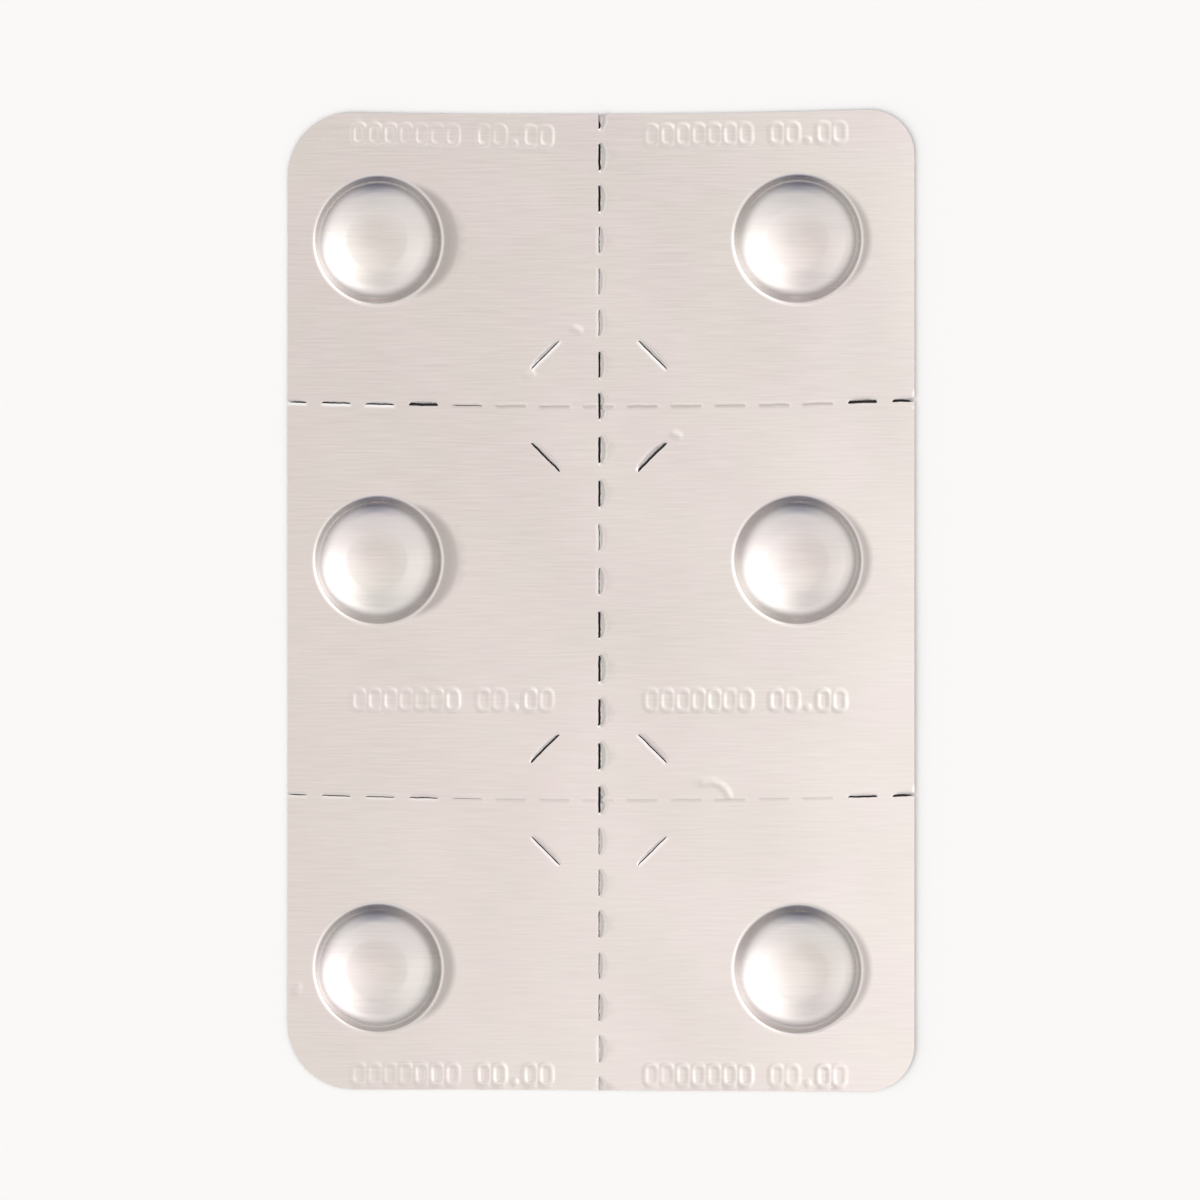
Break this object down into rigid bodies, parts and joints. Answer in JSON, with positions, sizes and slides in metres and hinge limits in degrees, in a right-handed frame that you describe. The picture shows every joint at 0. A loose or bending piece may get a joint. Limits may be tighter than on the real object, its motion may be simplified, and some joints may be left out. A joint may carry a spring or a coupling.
{
  "type": "pill blister pack",
  "caption": "Flat card of sealed aluminium foil with round domed tablet pockets, perforated tear lines between the cells and slanted slits to peel from.",
  "frame": {"origin": "middle of the flat underside of the card", "axes": "+X to the card's right and +Y along its length, as seen with the pockets towards the viewer; +Z out of the pockets"},
  "size_m": [0.065, 0.1013, 0.0024],
  "materials": {
    "foil": "satin rolled foil, warm grey, with fine rolling streaks across the card"
  },
  "bodies": {
    "root": {"blister_pack": "foil"}
  },
  "joints": []
}
